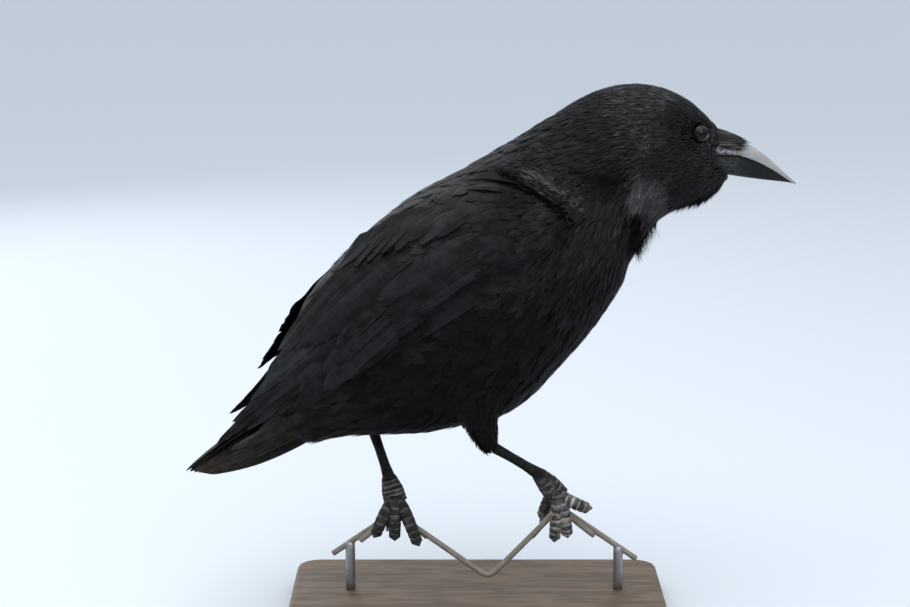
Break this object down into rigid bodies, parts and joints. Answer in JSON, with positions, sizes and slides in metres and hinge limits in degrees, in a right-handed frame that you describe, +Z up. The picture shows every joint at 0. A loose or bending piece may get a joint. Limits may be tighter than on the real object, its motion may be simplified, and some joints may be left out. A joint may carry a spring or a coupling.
{
  "type": "carrion crow",
  "caption": "Life-size black crow with closed wings, stepping along a short cut length of bent fence wire on a plain flat stand.",
  "frame": {"origin": "centre of the base's underside", "axes": "+X the way the bird faces, +Y its left side, +Z up"},
  "size_m": [0.4153, 0.136, 0.369],
  "materials": {
    "feather": "black feathers with a faint blue and brown sheen",
    "bill": "dark grey horn, satin",
    "eye": "wet dark brown eye",
    "leg": "dark grey scaly skin, matt",
    "claw": "black horn, satin",
    "wire": "weathered zinc coated steel wire",
    "base": "oiled wood",
    "rod": "dark satin rod"
  },
  "bodies": {
    "root": {"bill_lower": "bill", "bill_upper": "bill", "claw_hallux_left": "claw", "claw_hallux_right": "claw", "claw_inner_left": "claw", "claw_inner_right": "claw", "claw_middle_left": "claw", "claw_middle_right": "claw", "claw_outer_left": "claw", "claw_outer_right": "claw", "eye_left": "eye", "eye_right": "eye", "foot_left": "leg", "foot_right": "leg", "head": "feather", "neck": "feather", "perch_wire_front": "wire", "perch_wire_middle": "wire", "perch_wire_rear": "wire", "stand_base": "base", "stand_rod_front": "rod", "stand_rod_rear": "rod", "tail": "feather", "tarsus_left": "leg", "tarsus_right": "leg", "thigh_left": "feather", "thigh_right": "feather", "toe_hallux_left": "leg", "toe_hallux_right": "leg", "toe_inner_left": "leg", "toe_inner_right": "leg", "toe_middle_left": "leg", "toe_middle_right": "leg", "toe_outer_left": "leg", "toe_outer_right": "leg", "trunk": "feather", "wing_left": "feather", "wing_right": "feather"}
  },
  "joints": []
}
